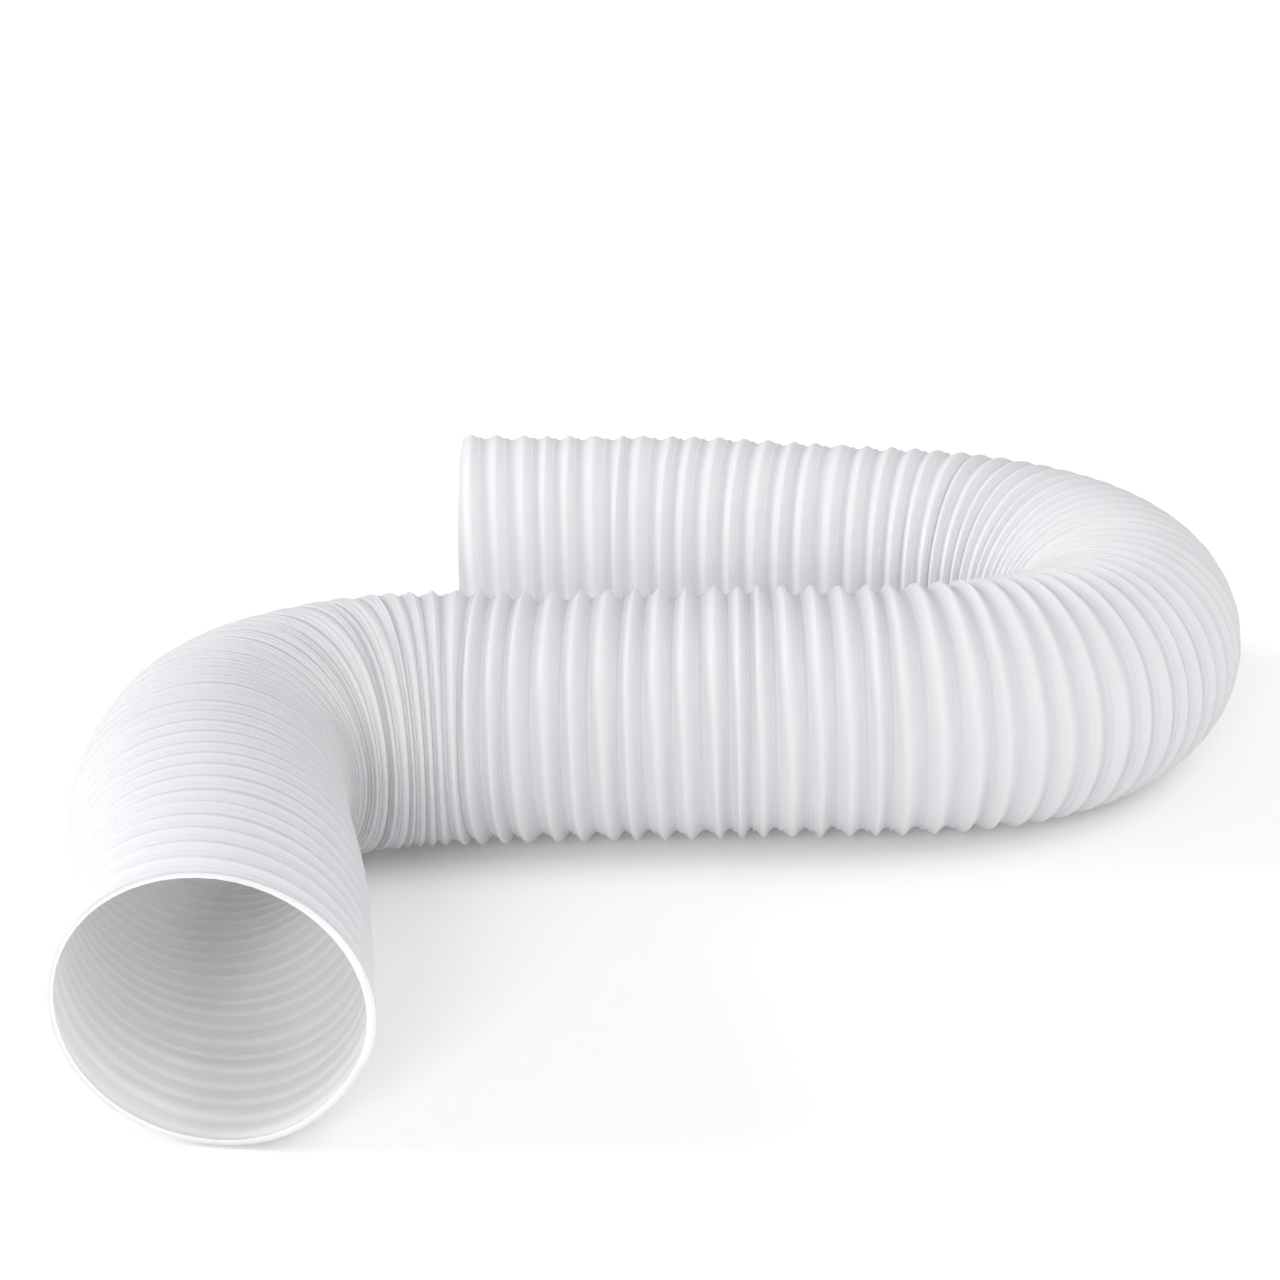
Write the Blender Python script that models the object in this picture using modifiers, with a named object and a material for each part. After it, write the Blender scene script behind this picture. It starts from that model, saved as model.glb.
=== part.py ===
"""Air conditioner exhaust hose: a corrugated flexible plastic duct that lies on the floor in an S.

The hose is one helically corrugated wall. It is made straight and square cut first, as it comes
from the factory, and then laid along its route: a rear leg, a half turn, a front leg, an elbow
and a nozzle that ends in the open front mouth. Its ridges stand wide where the hose is pulled out
and close together where it is pushed in, and they slant where one side of it is pulled further.

Run it with: blender --background --python part.py
Units are metres, +Z is up, and the origin lies on the floor under the middle of the hose.
"""

import math
from dataclasses import dataclass

import bmesh
import bpy
import numpy as np
from mathutils import Vector

# The wall's section
CREST_RADIUS = 0.078  # outside of the ridges
RIDGE_HEIGHT = 0.005  # from the valleys up to the ridges
WALL = 0.0007  # thickness of the plastic
SIDES = 14  # facets round the hose

# The helix
MADE_PITCH = 0.015  # distance from ridge to ridge as the hose is made, before it is laid
RIDGE_RUN_OUT = math.radians(105.0)  # where the last ridge leaves the front lip, from its bottom

# The ridges as the hose is laid: at shares of the route's length from the rear mouth, the laid
# pitch over the made pitch, and the angle in degrees by which the ridges run ahead on the left
RIDGE_LAY = (
    (0.000, 1.18, 0.0),
    (0.100, 1.19, 2.0),
    (0.202, 1.19, 3.0),
    (0.243, 0.94, 4.0),
    (0.297, 0.91, 6.0),
    (0.370, 0.90, 9.0),
    (0.445, 0.83, 2.0),
    (0.478, 0.88, 3.0),
    (0.519, 1.07, 4.0),
    (0.566, 1.12, 4.0),
    (0.627, 1.08, 8.0),
    (0.674, 1.10, 9.0),
    (0.697, 0.86, 8.0),
    (0.721, 0.72, -2.0),
    (0.748, 0.72, -10.0),
    (0.790, 0.74, -11.0),
    (0.815, 0.77, -4.0),
    (0.876, 0.87, 10.0),
    (0.930, 0.96, 14.0),
    (1.000, 1.05, 12.0),
)

# The route of the centreline along the floor
REAR_LEG_LENGTH = 0.272
REAR_LEG_TURN = math.radians(-10.5)
HALF_TURN_RADIUS = 0.139
HALF_TURN_ANGLE = math.radians(-168.0)
FRONT_LEG_LENGTH = 0.218
FRONT_LEG_TURN = math.radians(1.6)
ELBOW_RADIUS = 0.103
ELBOW_ANGLE = math.radians(98.5)
NOZZLE_LENGTH = 0.148
NOZZLE_TURN = math.radians(-5.5)
FRONT_END_LENGTH = 0.030  # straight, up to the front lip
START_HEADING = math.radians(0.6)  # of the rear mouth, from +X

ROUTE_STEP = 0.0005  # distance between the samples of the route
OVERRUN = 0.040  # straight samples past both ends, for the lips' slant

# The plastic
PLASTIC_COLOUR = (0.86, 0.87, 0.88, 1.0)
PLASTIC_ROUGHNESS = 0.42


@dataclass(frozen=True)
class Stretch:
    """A stretch of the route with one bend: positive angles turn left.

    The bend comes in over a share of the stretch, its ease, and fades out over as much again.
    """

    length: float
    angle: float
    ease: float

    def turned(self, distance: np.ndarray) -> np.ndarray:
        """Angle turned at each distance from the stretch's start, easing in and out."""
        share = np.clip(distance / self.length, 0.0, 1.0)
        eased = 2.0 * self.ease * (1.0 - self.ease)
        steady = (share - self.ease / 2.0) / (1.0 - self.ease)
        fading = 1.0 - (1.0 - share) ** 2 / eased
        done = np.where(share < self.ease, share**2 / eased, steady)
        return self.angle * np.where(share > 1.0 - self.ease, fading, done)


def leg(length: float, angle: float) -> Stretch:
    """A nearly straight stretch that wanders by a small angle."""
    return Stretch(length, angle, ease=0.5)


def bend(radius: float, angle: float, ease: float) -> Stretch:
    """A bend whose tightest radius is the given one."""
    return Stretch(radius * abs(angle) / (1.0 - ease), angle, ease)


class Route:
    """The centreline on the floor, sampled finely, with the number of ridges up to each sample."""

    def __init__(self, stretches: tuple[Stretch, ...], start_heading: float) -> None:
        starts = np.concatenate([[0.0], np.cumsum([s.length for s in stretches])])
        self.length = float(starts[-1])
        count = max(2, round((self.length + 2.0 * OVERRUN) / ROUTE_STEP))
        self.distance = np.linspace(-OVERRUN, self.length + OVERRUN, count + 1)
        middle = (self.distance[1:] + self.distance[:-1]) / 2.0
        self.heading = self._headings(stretches, starts, start_heading, self.distance)
        along = self._headings(stretches, starts, start_heading, middle)
        step = self.distance[1] - self.distance[0]
        self.x = np.concatenate([[0.0], np.cumsum(np.cos(along)) * step])
        self.y = np.concatenate([[0.0], np.cumsum(np.sin(along)) * step])
        place, stretch, slant = np.array(RIDGE_LAY).T
        pitch = MADE_PITCH * np.interp(middle / self.length, place, stretch)
        self.turns = np.concatenate([[0.0], np.cumsum(step / pitch)])
        self.turns -= np.interp(0.0, self.distance, self.turns)
        self.slant = np.radians(np.interp(self.distance / self.length, place, slant))

    @staticmethod
    def _headings(
        stretches: tuple[Stretch, ...], starts: np.ndarray, start_heading: float, at: np.ndarray
    ) -> np.ndarray:
        """Heading of the centreline at the distances given."""
        heading = np.full(len(at), start_heading)
        for start, stretch in zip(starts, stretches):
            heading += stretch.turned(at - start)
        return heading

    def ridges(self) -> float:
        """Number of ridges on the whole hose."""
        return float(np.interp(self.length, self.distance, self.turns))

    def lay(self, points: np.ndarray) -> np.ndarray:
        """Moves points of the straight hose, which stands on +Z, to their places on the route.

        The straight hose's +X side comes to lie on the floor and its +Y side faces left. The
        slant slides the points along the route, so the hose's width stays what it is.
        """
        aside = points[:, 1]
        turn = points[:, 2] / MADE_PITCH
        distance = np.interp(turn, self.turns, self.distance)
        slant = np.interp(distance, self.distance, self.slant)
        distance = distance + aside * np.tan(slant)
        heading = np.interp(distance, self.distance, self.heading)
        x = np.interp(distance, self.distance, self.x) - aside * np.sin(heading)
        y = np.interp(distance, self.distance, self.y) + aside * np.cos(heading)
        return np.column_stack([x, y, CREST_RADIUS - points[:, 0]])


def clear_scene() -> None:
    """Removes every object of the open file."""
    for obj in list(bpy.data.objects):
        bpy.data.objects.remove(obj, do_unlink=True)


def plastic() -> bpy.types.Material:
    """The hose's white semi-rigid plastic."""
    material = bpy.data.materials.new("white_polypropylene")
    material.use_nodes = True
    shader = material.node_tree.nodes["Principled BSDF"]
    shader.inputs["Base Color"].default_value = PLASTIC_COLOUR
    shader.inputs["Roughness"].default_value = PLASTIC_ROUGHNESS
    shader.inputs["Metallic"].default_value = 0.0
    return material


def ridge_profile(turns: float) -> bpy.types.Mesh:
    """Half section of one ridge, from its upper valley over the crest to its lower valley.

    The crest of the last ridge meets the front cut at RIDGE_RUN_OUT, and the profile starts
    far enough below the rear cut for whole turns to reach past both ends.
    """
    crest_height = (turns - RIDGE_RUN_OUT / math.tau) % 1.0 - 2.0
    valley_radius = CREST_RADIUS - RIDGE_HEIGHT
    points = (
        (valley_radius, crest_height + 0.5),
        (CREST_RADIUS, crest_height),
        (valley_radius, crest_height - 0.5),
    )
    mesh = bpy.data.meshes.new("ridge_profile")
    vertices = [(radius, 0.0, turn * MADE_PITCH) for radius, turn in points]
    mesh.from_pydata(vertices, [(0, 1), (1, 2)], [])
    return mesh


def straight_wall(turns: float) -> bpy.types.Mesh:
    """The straight hose's wall, a turn or more too long at each end."""
    maker = bpy.data.objects.new("straight_hose", ridge_profile(turns))
    bpy.context.scene.collection.objects.link(maker)
    screw = maker.modifiers.new("helix", "SCREW")
    screw.axis = "Z"
    screw.angle = math.tau
    screw.screw_offset = MADE_PITCH
    screw.iterations = math.ceil(turns) + 4
    screw.steps = SIDES
    screw.render_steps = SIDES
    screw.use_merge_vertices = False
    join = maker.modifiers.new("join_turns", "WELD")
    join.merge_threshold = 0.00002
    thicken = maker.modifiers.new("wall", "SOLIDIFY")
    thicken.thickness = WALL
    thicken.offset = -1.0
    thicken.use_even_offset = True
    evaluated = maker.evaluated_get(bpy.context.evaluated_depsgraph_get())
    wall = bpy.data.meshes.new_from_object(evaluated)
    bpy.data.objects.remove(maker, do_unlink=True)
    return wall


def cut_square(wall: bmesh.types.BMesh, height: float, outward: float) -> None:
    """Cuts the wall across at a height, drops what lies outward and closes the cut ring."""
    cut = bmesh.ops.bisect_plane(
        wall,
        geom=wall.verts[:] + wall.edges[:] + wall.faces[:],
        dist=1e-7,
        plane_co=Vector((0.0, 0.0, height)),
        plane_no=Vector((0.0, 0.0, outward)),
        clear_outer=True,
    )
    ring = [item for item in cut["geom_cut"] if isinstance(item, bmesh.types.BMEdge)]
    bmesh.ops.triangle_fill(
        wall, use_beauty=True, edges=ring, normal=Vector((0.0, 0.0, outward))
    )


def build_hose(route: Route, collection: bpy.types.Collection) -> bpy.types.Object:
    """Makes the straight hose, cuts it to length and lays it along the route."""
    turns = route.ridges()
    mesh = straight_wall(turns)
    wall = bmesh.new()
    wall.from_mesh(mesh)
    cut_square(wall, 0.0, -1.0)
    cut_square(wall, turns * MADE_PITCH, 1.0)
    bmesh.ops.recalc_face_normals(wall, faces=wall.faces[:])
    laid = route.lay(np.array([vertex.co[:] for vertex in wall.verts]))
    middle = (laid.min(axis=0) + laid.max(axis=0)) / 2.0
    for vertex, place in zip(wall.verts, laid):
        vertex.co = (place[0] - middle[0], place[1] - middle[1], place[2])
    wall.to_mesh(mesh)
    wall.free()
    mesh.name = "hose"
    mesh.materials.clear()
    mesh.materials.append(plastic())
    mesh.shade_smooth()
    mesh.set_sharp_from_angle(angle=math.radians(50.0))
    hose = bpy.data.objects.new("hose", mesh)
    collection.objects.link(hose)
    return hose


def main() -> None:
    """Builds the exhaust hose in a collection of its own."""
    clear_scene()
    collection = bpy.data.collections.new("air_conditioner_exhaust_hose")
    bpy.context.scene.collection.children.link(collection)
    route = Route(
        (
            leg(REAR_LEG_LENGTH, REAR_LEG_TURN),
            bend(HALF_TURN_RADIUS, HALF_TURN_ANGLE, ease=0.25),
            leg(FRONT_LEG_LENGTH, FRONT_LEG_TURN),
            bend(ELBOW_RADIUS, ELBOW_ANGLE, ease=0.35),
            leg(NOZZLE_LENGTH, NOZZLE_TURN),
            leg(FRONT_END_LENGTH, 0.0),
        ),
        START_HEADING,
    )
    build_hose(route, collection)


if __name__ == "__main__":
    main()
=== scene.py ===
"""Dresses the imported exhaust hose: fine helical wall, white plastic, floor, lights and camera."""

import logging
import math
from dataclasses import dataclass, field
from enum import Enum
from typing import Any

import bpy
import numpy as np
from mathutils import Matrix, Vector


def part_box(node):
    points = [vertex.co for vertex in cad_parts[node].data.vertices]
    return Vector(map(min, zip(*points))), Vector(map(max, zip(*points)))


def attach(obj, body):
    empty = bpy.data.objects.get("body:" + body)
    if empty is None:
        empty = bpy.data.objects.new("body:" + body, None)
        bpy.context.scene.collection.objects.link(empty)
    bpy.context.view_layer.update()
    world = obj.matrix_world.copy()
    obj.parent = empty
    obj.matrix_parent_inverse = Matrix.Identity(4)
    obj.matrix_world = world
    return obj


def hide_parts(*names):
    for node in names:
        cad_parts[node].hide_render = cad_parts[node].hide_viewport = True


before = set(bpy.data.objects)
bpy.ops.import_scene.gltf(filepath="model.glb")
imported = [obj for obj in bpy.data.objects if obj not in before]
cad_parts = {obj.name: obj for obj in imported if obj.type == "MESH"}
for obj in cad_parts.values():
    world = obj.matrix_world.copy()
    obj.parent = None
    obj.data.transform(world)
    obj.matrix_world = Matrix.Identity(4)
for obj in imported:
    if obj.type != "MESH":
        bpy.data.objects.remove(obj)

LOG = logging.getLogger("exhaust_hose")

# What the solid hose was made with, in metres
CREST_RADIUS = 0.078  # outside of the ridges
RIDGE_HEIGHT = 0.005  # from the valleys up to the ridges
WALL = 0.0007  # thickness of the plastic
SIDES = 14  # facets round the hose
MADE_PITCH = 0.015  # from ridge to ridge, before the hose is laid
RIDGE_RUN_OUT = math.radians(105.0)  # where the last ridge leaves the front lip, from its bottom
ROUTE_STEP = 0.0005  # between the samples of the route
OVERRUN = 0.040  # straight samples past both ends, for the lips' slant

# How finely the route's box is found, and the least pitch that folded plastic can have
SIDE_SAMPLES = 3000
LIP_SAMPLES = 181
LEAST_PITCH = 0.001


@dataclass(frozen=True)
class Stretch:
    """A stretch of the hose's route with one bend: positive angles turn left."""

    length: float  # along the centreline
    angle: float  # turned over the whole stretch, in radians
    ease: float  # share of the stretch over which the bend comes in, and over which it fades out

    def turned(self, distance: np.ndarray) -> np.ndarray:
        """Gives the angle turned at distances from the stretch's start.

        Args:
            distance: Distances along the centreline from the start of the stretch.

        Returns:
            The heading gained there, in radians.
        """
        share = np.clip(distance / self.length, 0.0, 1.0)
        eased = 2.0 * self.ease * (1.0 - self.ease)
        steady = (share - self.ease / 2.0) / (1.0 - self.ease)
        fading = 1.0 - (1.0 - share) ** 2 / eased
        done = np.where(share < self.ease, share**2 / eased, steady)
        return self.angle * np.where(share > 1.0 - self.ease, fading, done)


def leg(length: float, degrees: float) -> Stretch:
    """Gives a nearly straight stretch that wanders by a small angle."""
    return Stretch(length, math.radians(degrees), ease=0.5)


def bend(radius: float, degrees: float, ease: float) -> Stretch:
    """Gives a bend whose tightest radius is the given one."""
    angle = math.radians(degrees)
    return Stretch(radius * abs(angle) / (1.0 - ease), angle, ease)


@dataclass(frozen=True)
class RidgeLay:
    """How the ridges lie at one place of the route."""

    place: float  # share of the route's length from the rear mouth
    stretch: float  # laid pitch over the pitch the hose is made with
    slant: float  # degrees by which the ridges run ahead on the left


@dataclass(frozen=True)
class HandPull:
    """What handling has done to the ridges at one distance along the route."""

    distance: float  # from the rear mouth
    shift: float  # of the ridges towards the front mouth, in pitches
    depth: float  # of the valleys, over their depth as the hose is made


HOSE_STRETCHES = (
    leg(0.272, -10.5),  # rear leg
    bend(0.139, -168.0, ease=0.25),  # half turn
    leg(0.218, 1.6),  # front leg
    bend(0.103, 98.5, ease=0.35),  # elbow
    leg(0.148, -5.5),  # nozzle
    leg(0.030, 0.0),  # straight end, up to the front lip
)
START_HEADING = math.radians(0.6)  # of the rear mouth, from +X
HOSE_LAY = (
    RidgeLay(0.000, 1.18, 0.0),
    RidgeLay(0.100, 1.19, 2.0),
    RidgeLay(0.202, 1.19, 3.0),
    RidgeLay(0.243, 0.94, 4.0),
    RidgeLay(0.297, 0.91, 6.0),
    RidgeLay(0.370, 0.90, 9.0),
    RidgeLay(0.445, 0.83, 2.0),
    RidgeLay(0.478, 0.88, 3.0),
    RidgeLay(0.519, 1.07, 4.0),
    RidgeLay(0.566, 1.12, 4.0),
    RidgeLay(0.627, 1.08, 8.0),
    RidgeLay(0.674, 1.10, 9.0),
    RidgeLay(0.697, 0.86, 8.0),
    RidgeLay(0.721, 0.72, -2.0),
    RidgeLay(0.748, 0.72, -10.0),
    RidgeLay(0.790, 0.74, -11.0),
    RidgeLay(0.815, 0.77, -4.0),
    RidgeLay(0.876, 0.87, 10.0),
    RidgeLay(0.930, 0.96, 14.0),
    RidgeLay(1.000, 1.05, 12.0),
)
HOSE_HANDLING = (
    HandPull(0.000, 0.10, 0.64),
    HandPull(0.300, 0.10, 0.62),
    HandPull(0.420, 0.00, 0.62),
    HandPull(0.700, 0.00, 0.80),
    HandPull(0.770, 0.22, 1.05),
    HandPull(0.845, 0.34, 1.15),
    HandPull(0.858, 0.35, 1.18),
    HandPull(0.874, -0.02, 1.20),
    HandPull(0.900, -0.06, 1.20),
    HandPull(1.020, -0.06, 1.20),
    HandPull(1.050, 0.00, 0.70),
    HandPull(1.110, 0.00, 0.36),
    HandPull(1.300, 0.00, 0.36),
    HandPull(1.400, 0.00, 0.42),
    HandPull(1.484, 0.00, 0.70),
)


class Route:
    """The hose's centreline on the floor, with the number of ridges up to each sample."""

    def __init__(
        self,
        stretches: tuple[Stretch, ...],
        start_heading: float,
        lay: tuple[RidgeLay, ...],
        handling: tuple[HandPull, ...],
    ) -> None:
        """Samples the route.

        Args:
            stretches: The stretches from the rear mouth to the front mouth.
            start_heading: Heading of the rear mouth from +X, in radians.
            lay: How the ridges lie along the route.
            handling: What handling has done to them.
        """
        starts = np.concatenate([[0.0], np.cumsum([s.length for s in stretches])])
        self.length = float(starts[-1])
        count = round((self.length + 2.0 * OVERRUN) / ROUTE_STEP)
        self.distance = np.linspace(-OVERRUN, self.length + OVERRUN, count + 1)
        step = self.distance[1] - self.distance[0]
        middle = (self.distance[1:] + self.distance[:-1]) / 2.0
        self.heading = start_heading + self._turned(stretches, starts, self.distance)
        along = start_heading + self._turned(stretches, starts, middle)
        self.x = np.concatenate([[0.0], np.cumsum(np.cos(along)) * step])
        self.y = np.concatenate([[0.0], np.cumsum(np.sin(along)) * step])
        self.curvature = np.gradient(self.heading, self.distance)
        places = [ridges.place * self.length for ridges in lay]
        pitches = [ridges.stretch * MADE_PITCH for ridges in lay]
        slants = np.interp(self.distance, places, [ridges.slant for ridges in lay])
        self.pitch = np.interp(self.distance, places, pitches)
        pulls = [pull.distance for pull in handling]
        self.shift = np.interp(self.distance, pulls, [pull.shift for pull in handling])
        self.depth = np.interp(self.distance, pulls, [pull.depth for pull in handling])
        self.slant = np.tan(np.radians(slants))
        self.spread = np.gradient(self.slant, self.distance)
        self.turns = np.concatenate([[0.0], np.cumsum(step / np.interp(middle, places, pitches))])
        self.turns -= np.interp(0.0, self.distance, self.turns)
        self._centre()

    @staticmethod
    def _turned(
        stretches: tuple[Stretch, ...], starts: np.ndarray, at: np.ndarray
    ) -> np.ndarray:
        """Adds up what every stretch has turned at the distances given."""
        return sum(s.turned(at - start) for start, s in zip(starts, stretches))

    def _centre(self) -> None:
        """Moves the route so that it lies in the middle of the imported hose's box."""
        low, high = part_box("hose")
        turn = np.linspace(0.0, self.last_turn, SIDE_SAMPLES)
        side = np.full_like(turn, math.pi / 2.0)
        # the solid has flat facets at its two sides, which lie a little inside the crests
        width = np.full_like(turn, CREST_RADIUS * math.cos(math.pi / SIDES))
        around = np.linspace(0.0, math.tau, LIP_SAMPLES)
        lip = np.full_like(around, CREST_RADIUS - RIDGE_HEIGHT / 2.0)
        points = [self.place(turn, side, width), self.place(turn, -side, width)]
        for end in (0.0, self.last_turn):
            points.append(self.place(np.full_like(around, end), around, lip))
        reach = np.concatenate(points)
        middle = (reach.min(axis=0) + reach.max(axis=0)) / 2.0
        self.x = self.x + (low[0] + high[0]) / 2.0 - middle[0]
        self.y = self.y + (low[1] + high[1]) / 2.0 - middle[1]

    @property
    def last_turn(self) -> float:
        """Gives the number of ridges on the whole hose."""
        return float(np.interp(self.length, self.distance, self.turns))

    def at(self, turn: np.ndarray, name: str) -> np.ndarray:
        """Reads one of the route's sampled quantities.

        Args:
            turn: Places along the hose, counted in ridges from the rear mouth.
            name: The sampled quantity, such as distance, pitch or slant.

        Returns:
            The quantity at those places.
        """
        return np.interp(turn, self.turns, getattr(self, name))

    def slid(self, turn: np.ndarray, aside: np.ndarray) -> np.ndarray:
        """Gives the distance along the route of points that the slant slides along it.

        Args:
            turn: Places along the hose, counted in ridges.
            aside: Offsets to the left of the centreline.

        Returns:
            The distances.
        """
        return self.at(turn, "distance") + aside * self.at(turn, "slant")

    def wall_pitch(self, turn: np.ndarray, angle: np.ndarray) -> np.ndarray:
        """Gives the pitch along the wall itself, which bends and the slant change.

        Args:
            turn: Places along the hose, counted in ridges.
            angle: Angles round the hose.

        Returns:
            The pitches, in metres.
        """
        aside = CREST_RADIUS * np.sin(angle)
        curvature = np.interp(self.slid(turn, aside), self.distance, self.curvature)
        spread = 1.0 + aside * self.at(turn, "spread")
        pitch = self.at(turn, "pitch") * spread * (1.0 - curvature * aside)
        return np.maximum(pitch, LEAST_PITCH)

    def place(self, turn: np.ndarray, angle: np.ndarray, radius: np.ndarray) -> np.ndarray:
        """Gives points round the centreline.

        Args:
            turn: Places along the hose, counted in ridges.
            angle: Angles round the hose, from its bottom towards its left side.
            radius: Distances from the centreline.

        Returns:
            The points, with X, Y and Z along the last axis.
        """
        aside = radius * np.sin(angle)
        distance = self.slid(turn, aside)
        heading = np.interp(distance, self.distance, self.heading)
        x = np.interp(distance, self.distance, self.x) - aside * np.sin(heading)
        y = np.interp(distance, self.distance, self.y) + aside * np.cos(heading)
        return np.stack([x, y, CREST_RADIUS - radius * np.cos(angle)], axis=-1)


@dataclass(frozen=True)
class Waves:
    """Which waves one unevenness of the wall is made of."""

    seed: int
    shortest: float  # in ridges
    longest: float
    lobes: int = 0  # the most waves round the hose


@dataclass(frozen=True)
class Unevenness:
    """Smooth seeded variation over the wall, as a hand-pulled hose has."""

    waves: Waves
    count: int = 24

    def along(self, turn: np.ndarray) -> np.ndarray:
        """Gives a smooth value that varies along the hose.

        Args:
            turn: Places along the hose, counted in ridges.

        Returns:
            Values of about unit deviation.
        """
        rng = np.random.default_rng(self.waves.seed)
        lengths = np.exp(rng.uniform(*self._limits(), self.count))
        shifts = rng.uniform(0.0, math.tau, self.count)
        total = np.zeros_like(turn)
        for length, shift in zip(lengths, shifts):
            total += np.sin(math.tau * turn / length + shift)
        return total * math.sqrt(2.0 / self.count)

    def over(self, turn: np.ndarray, angle: np.ndarray) -> np.ndarray:
        """Gives a smooth value that varies along the hose and round it.

        Args:
            turn: Places along the hose, counted in ridges.
            angle: Angles round the hose.

        Returns:
            Values of about unit deviation.
        """
        rng = np.random.default_rng(self.waves.seed)
        total = np.zeros_like(turn + angle)
        for _ in range(self.count):
            length = math.exp(rng.uniform(*self._limits()))
            lobe = rng.integers(1, self.waves.lobes + 1) * rng.choice([-1, 1])
            shift = rng.uniform(0.0, math.tau)
            total += np.sin(math.tau * turn / length + lobe * angle + shift)
        return total * math.sqrt(2.0 / self.count)

    def _limits(self) -> tuple[float, float]:
        """Gives the logarithms of the shortest and the longest wave."""
        return math.log(self.waves.shortest), math.log(self.waves.longest)


@dataclass(frozen=True)
class RidgeShape:
    """Section of the wall over one pitch: a rounded crest, a broad valley and the weld seam."""

    crest_share: float = 0.13  # of a pitch, from the crest's middle to where the valley begins
    least_crest: float = 0.0018  # the crest's half width stays over this as the hose is pushed in
    deepest_fold: float = 0.60  # depth of a fold over its pitch, at most
    valley_place: float = 0.58  # of a pitch past the crest, where the wall lies lowest
    seam_place: float = 0.41  # of a pitch past the crest
    seam_height: float = 0.00115
    seam_half_width: float = 0.0011
    share_limits: tuple[float, float] = (0.05, 0.3)  # of the crest's half width over the pitch
    seam_pitch: float = 0.010  # the seam gains its whole height as the pitch grows by this
    seam_flat: float = 0.4  # share of that pitch up to which the seam is pressed flat

    def height(self, phase: np.ndarray, pitch: np.ndarray) -> np.ndarray:
        """Gives the share of the ridge's height that the wall stands at.

        Args:
            phase: Place within the pitch, from 0 on a crest to 1 on the next.
            pitch: The local pitch, in metres.

        Returns:
            The height, from 0 in the valley to 1 on the crest.
        """
        off = np.interp(phase % 1.0, (0.0, self.valley_place, 1.0), (0.0, 0.5, 0.0))
        share = np.maximum(self.crest_share, self.least_crest / pitch)
        share = np.clip(share, *self.share_limits)
        crest = 1.0 - 2.0 * off**2 / share
        valley = (1.0 - 2.0 * share) * ((0.5 - off) / (0.5 - share)) ** 2
        return np.where(off < share, crest, valley)

    def depth(self, pitch: np.ndarray) -> np.ndarray:
        """Gives the depth of the valleys below the crests at a local pitch."""
        return np.minimum(RIDGE_HEIGHT, self.deepest_fold * pitch)

    def seam(self, phase: np.ndarray, pitch: np.ndarray) -> np.ndarray:
        """Gives how far the weld seam stands proud of the valley."""
        off = ((phase - self.seam_place + 0.5) % 1.0 - 0.5) * pitch / self.seam_half_width
        standing = np.clip(pitch / self.seam_pitch - self.seam_flat, 0.0, 1.0)
        return self.seam_height * np.exp(-(off**2)) * standing


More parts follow.
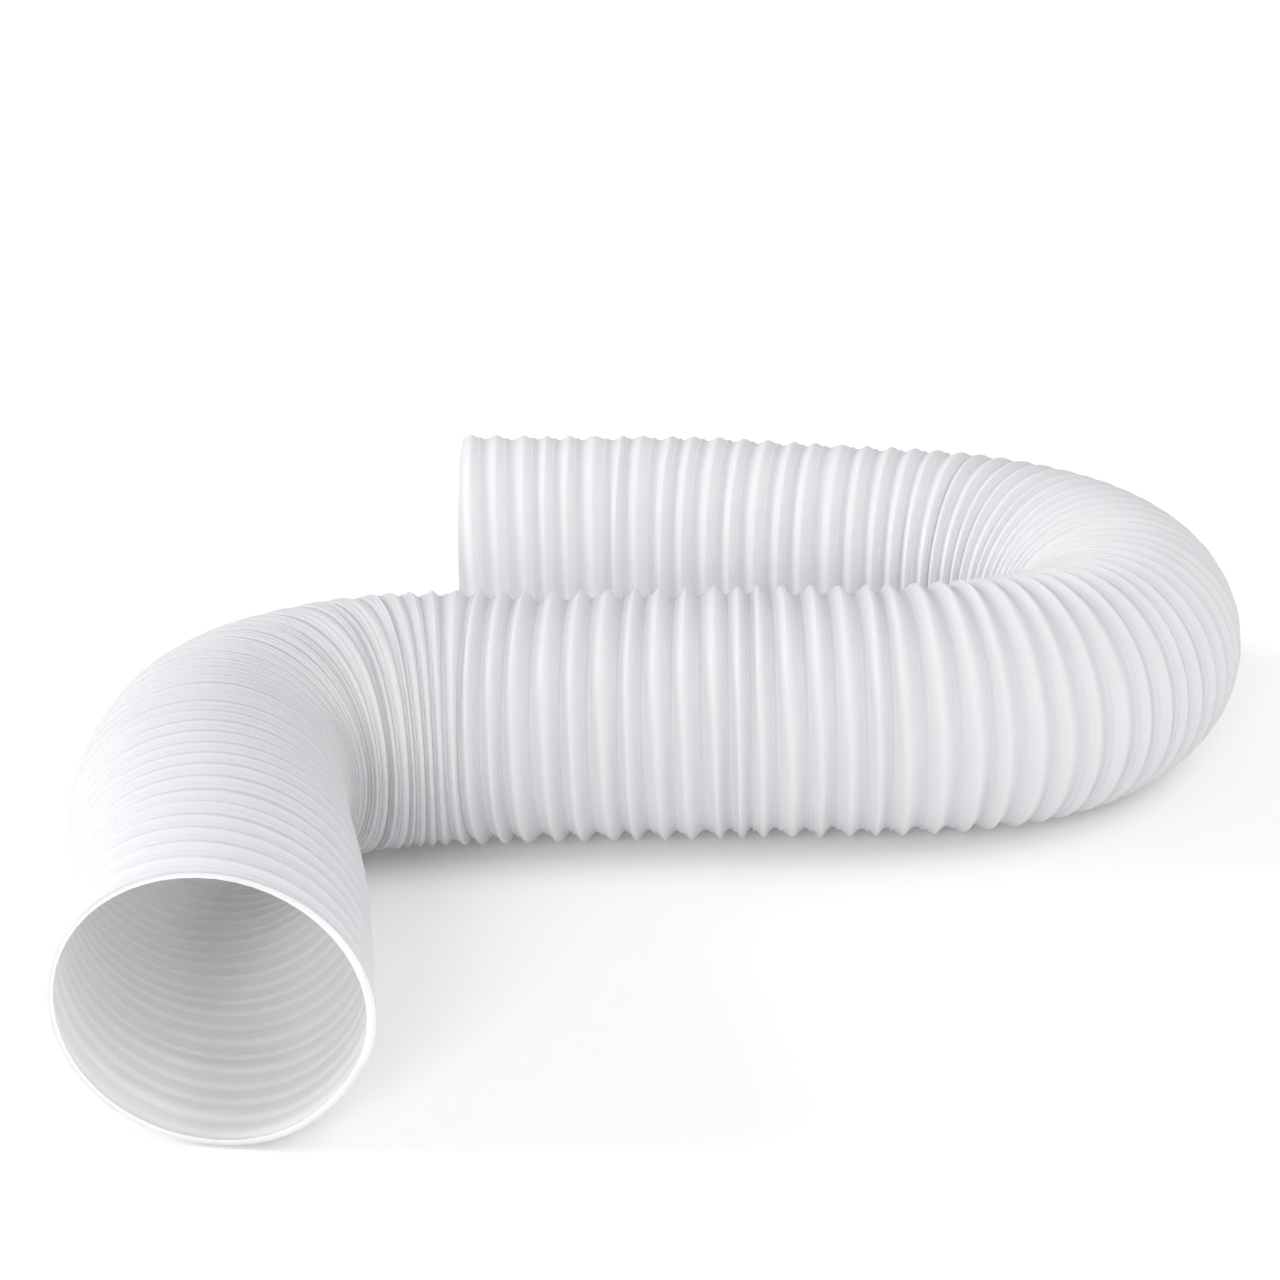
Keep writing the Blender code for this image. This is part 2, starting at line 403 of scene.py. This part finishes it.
@dataclass
class HoseWall:
    """The hose's one wall, as a closed shell with both skins and both lips."""

    route: Route
    ridge: RidgeShape = field(default_factory=RidgeShape)
    columns: int = 52
    outer_rows: tuple[float, ...] = (
        0.0, 0.06, 0.13, 0.22, 0.31, 0.36, 0.41, 0.46, 0.52, 0.66, 0.80, 0.89, 0.95,
    )  # fmt: skip
    inner_rows: tuple[float, ...] = (0.0, 0.16, 0.38, 0.62, 0.84)
    inner_relief: float = 0.36  # of the outer skin's, as the plastic fills the ridges' roots
    height_unevenness: float = 0.07  # over the ridges' height
    height_waves: Waves = Waves(seed=7, shortest=1.5, longest=12.0, lobes=3)
    pitch_unevenness: float = 0.045  # over the pitch
    pitch_waves: Waves = Waves(seed=3, shortest=1.6, longest=7.0)
    steady_ridges: float = 2.0  # from each lip, over which the ridges come to lie unevenly
    spare_ridges: int = 2  # laid past each lip, before the wall is cut square
    restless_place: float = 0.745  # share of the route where the pushed-in folds lie unevenly
    restless_reach: float = 0.045
    restlessness: float = 3.0
    sag: float = 0.0006  # of the hose's top under its weight
    most_sag: float = 3.0  # over the sag
    sag_waves: Waves = Waves(seed=11, shortest=9.0, longest=40.0, lobes=2)
    dent: float = 0.0025  # of the front lip, low on its left side
    dent_angle: float = math.radians(52.0)
    dent_reach: float = 0.045  # along the hose
    dent_half_angle: float = 0.42  # round the hose, in radians
    oval: float = 0.0028  # by which the front mouth stands wider and lower than a circle
    oval_reach: float = 0.12  # along the hose
    lip_bead: float = 0.0013  # by which the plastic is thicker along the front lip
    lip_bead_reach: float = 0.0040
    sharp_angle: float = math.radians(75.0)  # between faces that meet in a hard edge

    def _radius(
        self, turn: np.ndarray, angle: np.ndarray, phase: np.ndarray, relief: float
    ) -> dict[str, Any]:
        """Works out a skin's radius, before its inset.

        Args:
            turn: Places along the hose, counted in ridges.
            angle: Angles round the hose.
            phase: Place within the pitch, 0 on a crest.
            relief: Height of the skin's ridges over the outer skin's.

        Returns:
            The radius, the ridge height's share, the local pitch and the lip's bead, by name.
        """
        pitch = self.route.wall_pitch(turn, angle)
        share = self.ridge.height(phase, pitch)
        uneven = Unevenness(self.height_waves).over(turn, angle)
        depth = self.ridge.depth(pitch) * (1.0 + self.height_unevenness * uneven)
        depth = depth * self.route.at(turn, "depth")
        sagging = Unevenness(self.sag_waves).over(turn, angle) + 1.0
        sag = self.sag * np.clip(sagging, 0.0, self.most_sag)
        radius = CREST_RADIUS - depth * (1.0 - share * relief) - sag * (1.0 - np.cos(angle)) * 0.5
        to_lip = self.route.length - self.route.at(turn, "distance")
        off_dent = (angle - self.dent_angle + math.pi) % math.tau - math.pi
        near_dent = (to_lip / self.dent_reach) ** 2 + (off_dent / self.dent_half_angle) ** 2
        radius = radius - self.dent * np.exp(-near_dent)
        wider = np.sin(angle) ** 2 - (0.5 - 0.5 * np.cos(angle)) ** 2
        radius = radius + self.oval * wider * np.exp(-((to_lip / self.oval_reach) ** 2))
        radius = radius + self.ridge.seam(phase, pitch) * relief
        bead = self.lip_bead * np.exp(-((to_lip / self.lip_bead_reach) ** 2))
        return {"radius": radius, "share": share, "pitch": pitch, "bead": bead}

    def _skin(
        self, rows: tuple[float, ...], inset: float, relief: float, first: int
    ) -> dict[str, Any]:
        """Lays out one skin of the wall as a helical grid that ends square.

        Args:
            rows: Places within a pitch that get a row of points.
            inset: Distance of the skin inside the outer one.
            relief: Height of the skin's ridges over the outer skin's.
            first: Number of the skin's first point.

        Returns:
            Points, faces, both rims' point numbers and the shading values, by name.
        """
        last = self.route.last_turn
        run_out = RIDGE_RUN_OUT / math.tau
        pitches = math.ceil(last) + 2 * self.spare_ridges
        helix = (np.arange(pitches)[:, None] + np.array(rows)[None, :]).ravel()
        helix = helix - pitches + self.spare_ridges
        angle = np.arange(self.columns) / self.columns * math.tau
        turn = helix[:, None] + angle[None, :] / math.tau + last - run_out
        wander = Unevenness(self.pitch_waves).along(turn) * self.pitch_unevenness
        restless = self.route.at(turn, "distance") / self.route.length - self.restless_place
        wander *= 1.0 + self.restlessness * np.exp(-((restless / self.restless_reach) ** 2))
        moved = wander + self.route.at(turn, "shift")
        to_lips = np.minimum(turn, last - turn)
        turn = turn + moved * np.clip(to_lips / self.steady_ridges, 0.0, 1.0)
        clipped = np.clip(turn, 0.0, last)
        phase = np.broadcast_to((helix % 1.0)[:, None], turn.shape)
        # where a row is cut off, its phase is that of the wall at the cut
        phase = (phase + clipped - turn) % 1.0
        shape = self._radius(clipped, np.broadcast_to(angle, turn.shape), phase, relief)
        # the bead along the front lip is on the inner skin's side
        below = inset + shape["bead"] if inset > 0.0 else 0.0
        points = self.route.place(clipped, angle[None, :], shape["radius"] - below)
        count = len(helix)
        number = np.arange(count * self.columns).reshape(count, self.columns)
        # every point past a cut is the same as its column's point on the lip
        rear = number[np.maximum((turn <= 0.0).sum(axis=0) - 1, 0), np.arange(self.columns)]
        front = number[count - (turn >= last).sum(axis=0), np.arange(self.columns)]
        number = np.where(turn <= 0.0, rear[None, :], number)
        number = np.where(turn >= last, front[None, :], number)
        # once round the hose, the helix meets its own start one pitch further on
        wrapped = np.full((count, 1), -1)
        wrapped[: count - len(rows), 0] = number[len(rows) :, 0]
        wide = np.hstack([number, wrapped])
        quads = np.stack([wide[:-1, :-1], wide[:-1, 1:], wide[1:, 1:], wide[1:, :-1]], axis=-1)
        quads = quads.reshape(-1, 4)
        quads = quads[(quads >= 0).all(axis=1)] + first
        # a quad that the cut has squeezed becomes a triangle or nothing
        faces = []
        for quad in quads.tolist():
            corners = [c for k, c in enumerate(quad) if c != quad[k - 1]]
            if len(set(corners)) == len(corners) and len(corners) > 2:
                faces.append(corners)
        return {
            "points": points.reshape(-1, 3),
            "faces": faces,
            "rear": rear + first,
            "front": front + first,
            "ridge": shape["share"].ravel(),
            "pitch": shape["pitch"].ravel(),
            "helix": np.broadcast_to(helix[:, None], turn.shape).ravel(),
        }

    def build(self) -> bpy.types.Object:
        """Builds the closed shell with its shading values.

        Returns:
            The hose's object, linked to the scene.
        """
        outer = self._skin(self.outer_rows, 0.0, 1.0, 0)
        inner = self._skin(self.inner_rows, WALL, self.inner_relief, len(outer["points"]))
        faces = outer["faces"] + [face[::-1] for face in inner["faces"]]
        for k in range(self.columns):
            to = (k + 1) % self.columns
            front = [inner["front"][k], outer["front"][k], outer["front"][to], inner["front"][to]]
            rear = [outer["rear"][k], inner["rear"][k], inner["rear"][to], outer["rear"][to]]
            faces += [[int(v) for v in front], [int(v) for v in rear]]
        points = np.vstack([outer["points"], inner["points"]])
        used = np.unique(np.concatenate([np.array(f) for f in faces]))
        renumber = np.full(len(points), -1)
        renumber[used] = np.arange(len(used))
        mesh = bpy.data.meshes.new("exhaust_hose_wall")
        mesh.from_pydata(points[used], [], [[int(renumber[v]) for v in f] for f in faces])
        outer["inside"] = np.zeros(len(outer["points"]))
        inner["inside"] = np.ones(len(inner["points"]))
        for name in ("ridge", "pitch", "helix", "inside"):
            values = np.concatenate([outer[name], inner[name]])[used]
            attribute = mesh.attributes.new(name, "FLOAT", "POINT")
            attribute.data.foreach_set("value", values.astype(np.float32))
        mesh.validate()
        mesh.shade_smooth()
        mesh.set_sharp_from_angle(angle=self.sharp_angle)
        hose = bpy.data.objects.new("exhaust_hose_wall", mesh)
        bpy.context.scene.collection.objects.link(hose)
        return hose


class Signal:
    """A shader socket that can be used in arithmetic."""

    def __init__(self, tree: "ShaderTree", socket: bpy.types.NodeSocket) -> None:
        """Wraps an output socket of a tree."""
        self.tree = tree
        self.socket = socket

    def _math(self, operation: str, *values: Any) -> "Signal":
        """Adds a Math node for an operation on numbers."""
        return self.tree.node("ShaderNodeMath", {"operation": operation}, dict(enumerate(values)))

    def __add__(self, other: Any) -> "Signal":
        """Adds."""
        return self._math("ADD", self, other)

    def __radd__(self, other: Any) -> "Signal":
        """Adds, reflected."""
        return self._math("ADD", other, self)

    def __sub__(self, other: Any) -> "Signal":
        """Subtracts."""
        return self._math("SUBTRACT", self, other)

    def __rsub__(self, other: Any) -> "Signal":
        """Subtracts, reflected."""
        return self._math("SUBTRACT", other, self)

    def __mul__(self, other: Any) -> "Signal":
        """Multiplies."""
        return self._math("MULTIPLY", self, other)

    def __rmul__(self, other: Any) -> "Signal":
        """Multiplies, reflected."""
        return self._math("MULTIPLY", other, self)

    def __pow__(self, other: Any) -> "Signal":
        """Raises to a power."""
        return self._math("POWER", self, other)

    def sine(self) -> "Signal":
        """Takes the sine."""
        return self._math("SINE", self)


class ShaderTree:
    """Builds the node tree of one material."""

    def __init__(self, name: str) -> None:
        """Makes an empty material of the given name."""
        self.material = bpy.data.materials.new(name)
        self.material.use_nodes = True
        self.nodes = self.material.node_tree.nodes
        self.links = self.material.node_tree.links
        self.nodes.clear()

    def node(
        self, kind: str, settings: dict[str, Any], sockets: dict[Any, Any], output: Any = 0
    ) -> Signal:
        """Adds a node.

        Args:
            kind: The node's type.
            settings: Properties of the node, set before its sockets.
            sockets: Values or signals for the input sockets, by name or number.
            output: Name or number of the output that the signal reads.

        Returns:
            The chosen output as a signal.
        """
        node = self.nodes.new(kind)
        for name, value in settings.items():
            setattr(node, name, value)
        for name, value in sockets.items():
            if isinstance(value, Signal):
                self.links.new(value.socket, node.inputs[name])
            else:
                node.inputs[name].default_value = value
        return Signal(self, node.outputs[output])

    def mix(self, share: Any, first: Any, second: Any) -> Signal:
        """Mixes two colours.

        Args:
            share: How much of the second colour.
            first: The first colour or signal.
            second: The second colour or signal.

        Returns:
            The mixed colour.
        """
        sockets = {0: share, 6: first, 7: second}
        return self.node("ShaderNodeMix", {"data_type": "RGBA"}, sockets, 2)

    def mix_shaders(self, share: Any, first: Signal, second: Signal) -> Signal:
        """Mixes two shaders, with share as how much of the second."""
        return self.node("ShaderNodeMixShader", {}, {0: share, 1: first, 2: second})

    def finish(self, surface: Signal) -> bpy.types.Material:
        """Connects the surface shader and gives the material."""
        output = self.nodes.new("ShaderNodeOutputMaterial")
        self.links.new(surface.socket, output.inputs["Surface"])
        return self.material


def rgba(red: float, green: float, blue: float) -> tuple[float, float, float, float]:
    """Gives an opaque colour."""
    return (red, green, blue, 1.0)


@dataclass(frozen=True)
class WhitePolypropylene:
    """The hose's finish: white semi-rigid plastic, with painted shade, darker and a little cooler, in
    its folds, painted shade lines along its strip and painted light on its inner skin.
    """

    # painted shade: the valleys' colour is darker and bluer than the crests', as shade in the folds
    valley: tuple[float, float, float, float] = rgba(0.80, 0.81, 0.835)
    crest: tuple[float, float, float, float] = rgba(0.94, 0.94, 0.945)
    crest_reach: float = 0.8  # power of a ridge's height by which the crest's colour comes in over the valleys' painted shade
    mottle: tuple[float, float, float, float] = rgba(0.875, 0.88, 0.90)
    mottle_share: float = 0.35
    # painted shade: two darker lines to a pitch along the wound strip
    painted_shade_line: tuple[float, float, float, float] = rgba(0.80, 0.805, 0.82)
    painted_shade_line_share: float = 0.30
    # painted light: the inner skin is whiter than the outer one, which lifts the shade in the bore
    painted_light_inner_skin: tuple[float, float, float, float] = rgba(0.975, 0.973, 0.968)
    cloud_scale: float = 30.0
    cloud_detail: float = 4.0
    grain_scale: float = 900.0
    grain_detail: float = 3.0
    roughness: float = 0.40
    cloud_roughness: float = 0.12  # added in the mottle
    crest_polish: float = 0.06  # taken off on the crests
    refraction: float = 1.49
    outer_translucence: float = 0.40  # share of the outer skin that passes light on
    inner_translucence: float = 0.27
    beads: float = 2.0  # rounded lines to a pitch along the wound strip
    bead_place: float = 0.245  # of a pitch past the crest
    bead_height: float = 0.00020
    strip_lines: float = 5.0  # finer lines to a pitch
    strip_line_height: float = 0.00007
    inner_polish: float = 0.8  # share of the lines that the inner skin lacks
    pleats: float = 4.0  # fine pleats to a pitch where the hose is pushed in
    pleat_height: float = 0.00012
    pleat_wander: float = 5.0  # radians by which the mottle shifts them
    pleats_begin: float = 0.0140  # pitch below which they begin
    pleats_full: float = 0.0105  # pitch below which they stand at their whole height
    grain_height: float = 0.00003

    def material(self) -> bpy.types.Material:
        """Builds the plastic.

        Returns:
            The material.
        """
        tree = ShaderTree("white_polypropylene")
        inside, ridge, helix, pitch = (
            tree.node("ShaderNodeAttribute", {"attribute_name": name}, {}, "Fac")
            for name in ("inside", "ridge", "helix", "pitch")
        )
        clouds = self._noise(tree, self.cloud_scale, self.cloud_detail)
        edge_turn = (helix - self.bead_place) * (math.tau * self.beads)
        # painted shade: where the darker lines lie, twice a pitch
        shade_line_mask = (0.5 - edge_turn.sine() * 0.5) ** 2.0
        beads = (edge_turn + math.pi / 2.0).sine() * self.bead_height
        lines = (helix * (math.tau * self.strip_lines)).sine() * self.strip_line_height
        pushed_in = tree.node(
            "ShaderNodeMapRange",
            {},
            {"Value": pitch, "From Min": self.pleats_begin, "From Max": self.pleats_full},
        )
        pleats = (helix * (math.tau * self.pleats) + clouds * self.pleat_wander).sine()
        grain = self._noise(tree, self.grain_scale, self.grain_detail)
        height = grain * self.grain_height + (beads + lines) * (1.0 - inside * self.inner_polish)
        height = height + pleats * pushed_in * self.pleat_height
        bump = tree.node("ShaderNodeBump", {}, {"Strength": 1.0, "Distance": 1.0, "Height": height})

        # the light let through has a colour between the valley's painted shade and the crest's, which
        # follows the base colour as each layer, the painted shade lines too, goes over it
        # painted shade: the valleys darken and cool, and the crests keep the plastic's white
        painted_shade_to_crest = ridge**self.crest_reach
        base = tree.mix(painted_shade_to_crest, self.valley, self.crest)
        layers = (
            (clouds * self.mottle_share, self.mottle),
            # painted shade lines, darker, twice a pitch
            (shade_line_mask * self.painted_shade_line_share, self.painted_shade_line),
        )
        for share, colour in layers:
            base = tree.mix(share, base, colour)
            painted_shade_to_crest = painted_shade_to_crest + (self._crest_part(colour) - painted_shade_to_crest) * share
        # painted light: the inner skin takes its whiter colour, in the base and in the light let
        # through
        base = tree.mix(inside, base, self.painted_light_inner_skin)
        valley_light, crest_light, inner_light = (
            self._lit_through(tree, colour, bump)
            for colour in (self.valley, self.crest, self.painted_light_inner_skin)
        )
        outer_light = tree.mix_shaders(painted_shade_to_crest, valley_light, crest_light)
        through = tree.mix_shaders(inside, outer_light, inner_light)
        sockets = {
            "Base Color": base,
            "Roughness": self.roughness + clouds * self.cloud_roughness - ridge * self.crest_polish,
            "Normal": bump,
            "IOR": self.refraction,
        }
        plastic = tree.node("ShaderNodeBsdfPrincipled", {}, sockets)
        more = self.inner_translucence - self.outer_translucence
        translucence = inside * more + self.outer_translucence
        return tree.finish(tree.mix_shaders(translucence, plastic, through))

    def _crest_part(self, colour: tuple[float, float, float, float]) -> float:
        """Gives where a colour's green lies between the valley's, at 0, and the crest's, at 1."""
        return (colour[1] - self.valley[1]) / (self.crest[1] - self.valley[1])

    @staticmethod
    def _noise(tree: ShaderTree, scale: float, detail: float) -> Signal:
        """Adds a noise that lies still on the hose."""
        where = tree.node("ShaderNodeTexCoord", {}, {}, "Object")
        sockets = {"Vector": where, "Scale": scale, "Detail": detail}
        return tree.node("ShaderNodeTexNoise", {}, sockets)

    @staticmethod
    def _lit_through(
        tree: ShaderTree, colour: tuple[float, float, float, float], bump: Signal
    ) -> Signal:
        """Adds a shader of one colour that shows the light from behind the skin."""
        return tree.node("ShaderNodeBsdfTranslucent", {}, {"Color": colour, "Normal": bump})


class LightRole(Enum):
    """The studio's lights."""

    LEFT = "left"
    FRONT = "front"
    TOP = "top"


@dataclass(frozen=True)
class StudioLight:
    """A large soft light far off, which lights the whole studio evenly."""

    role: LightRole
    azimuth: float  # degrees from the camera's side towards the left
    elevation: float  # degrees over the floor
    strength: float
    spread: float  # degrees that the light spans
    colour: tuple[float, float, float] = (1.0, 1.0, 1.0)
    marker_distance: float = 3.0  # of its place from the origin; it shines the same from anywhere

    def build(self) -> bpy.types.Object:
        """Builds the light and turns it.

        Returns:
            The light's object.
        """
        lamp = bpy.data.lights.new(f"{self.role.value}_light", "SUN")
        lamp.angle = math.radians(self.spread)
        lamp.energy = self.strength
        lamp.color = self.colour
        light = bpy.data.objects.new(lamp.name, lamp)
        side, rise = math.radians(self.azimuth), math.radians(self.elevation)
        away = Vector((-math.sin(side), -math.cos(side), math.tan(rise))).normalized()
        light.location = away * self.marker_distance
        light.rotation_euler = (-away).to_track_quat("-Z", "Y").to_euler()
        bpy.context.scene.collection.objects.link(light)
        return light


@dataclass(frozen=True)
class Studio:
    """The pale floor, the soft lights and the camera."""

    floor_colour: tuple[float, float, float, float] = rgba(0.94, 0.94, 0.94)
    floor_roughness: float = 0.9
    floor_glow: float = 0.08
    floor_side: float = 14.0
    camera_place: tuple[float, float, float] = (-0.0355, -1.3898, 0.6639)
    camera_tilt: float = 0.3736  # radians below level
    camera_turn: float = 0.0026  # radians to the left of +Y
    focal_pixels: float = 2423.9
    frame_pixels: float = 1280.0  # width of the photograph's frame
    sensor_width: float = 36.0  # in millimetres
    sky_colour: tuple[float, float, float, float] = rgba(0.97, 0.985, 1.0)
    sky_strength: float = 0.62

    def floor(self) -> bpy.types.Object:
        """Builds the floor."""
        side = self.floor_side / 2.0
        mesh = bpy.data.meshes.new("studio_floor")
        corners = [(-side, -side, 0.0), (side, -side, 0.0), (side, side, 0.0), (-side, side, 0.0)]
        mesh.from_pydata(corners, [], [(0, 1, 2, 3)])
        tree = ShaderTree("studio_floor")
        sockets = {
            "Base Color": self.floor_colour,
            "Roughness": self.floor_roughness,
            "Emission Color": self.floor_colour,
            "Emission Strength": self.floor_glow,
        }
        mesh.materials.append(tree.finish(tree.node("ShaderNodeBsdfPrincipled", {}, sockets)))
        floor = bpy.data.objects.new("studio_floor", mesh)
        bpy.context.scene.collection.objects.link(floor)
        return floor

    def lights(self) -> None:
        """Builds the soft lights and the even surroundings."""
        lights = (
            StudioLight(LightRole.LEFT, 96.0, 19.0, 1.80, 30.0),
            StudioLight(LightRole.FRONT, 14.0, 24.0, 1.02, 24.0, (1.0, 0.985, 0.965)),
            StudioLight(LightRole.TOP, -65.0, 55.0, 0.78, 40.0),
        )
        for light in lights:
            light.build()
        world = bpy.data.worlds.new("studio")
        world.use_nodes = True
        background = world.node_tree.nodes["Background"]
        background.inputs["Color"].default_value = self.sky_colour
        background.inputs["Strength"].default_value = self.sky_strength
        bpy.context.scene.world = world
        bpy.context.scene.view_settings.view_transform = "Standard"

    def camera(self) -> bpy.types.Object:
        """Builds the camera at the photograph's viewpoint."""
        lens = bpy.data.cameras.new("photograph_view")
        lens.sensor_width = self.sensor_width
        lens.lens = self.focal_pixels / self.frame_pixels * lens.sensor_width
        camera = bpy.data.objects.new("photograph_view", lens)
        camera.location = self.camera_place
        camera.rotation_euler = (math.pi / 2.0 - self.camera_tilt, 0.0, self.camera_turn)
        bpy.context.scene.collection.objects.link(camera)
        bpy.context.scene.camera = camera
        return camera


def main() -> None:
    """Builds the hose and its studio, and reports the hose wall's size."""
    logging.basicConfig(level=logging.INFO, format="%(message)s")
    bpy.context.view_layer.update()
    route = Route(HOSE_STRETCHES, START_HEADING, HOSE_LAY, HOSE_HANDLING)
    hose = HoseWall(route).build()
    hose.data.materials.append(WhitePolypropylene().material())
    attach(hose, "root")
    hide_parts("hose")
    triangles = sum(len(face.vertices) - 2 for face in hose.data.polygons)
    LOG.info("hose wall: %d triangles, %.1f ridges, %.3f m", triangles, route.last_turn, route.length)
    studio = Studio()
    studio.floor()
    studio.lights()
    studio.camera()


if __name__ == "__main__":
    main()
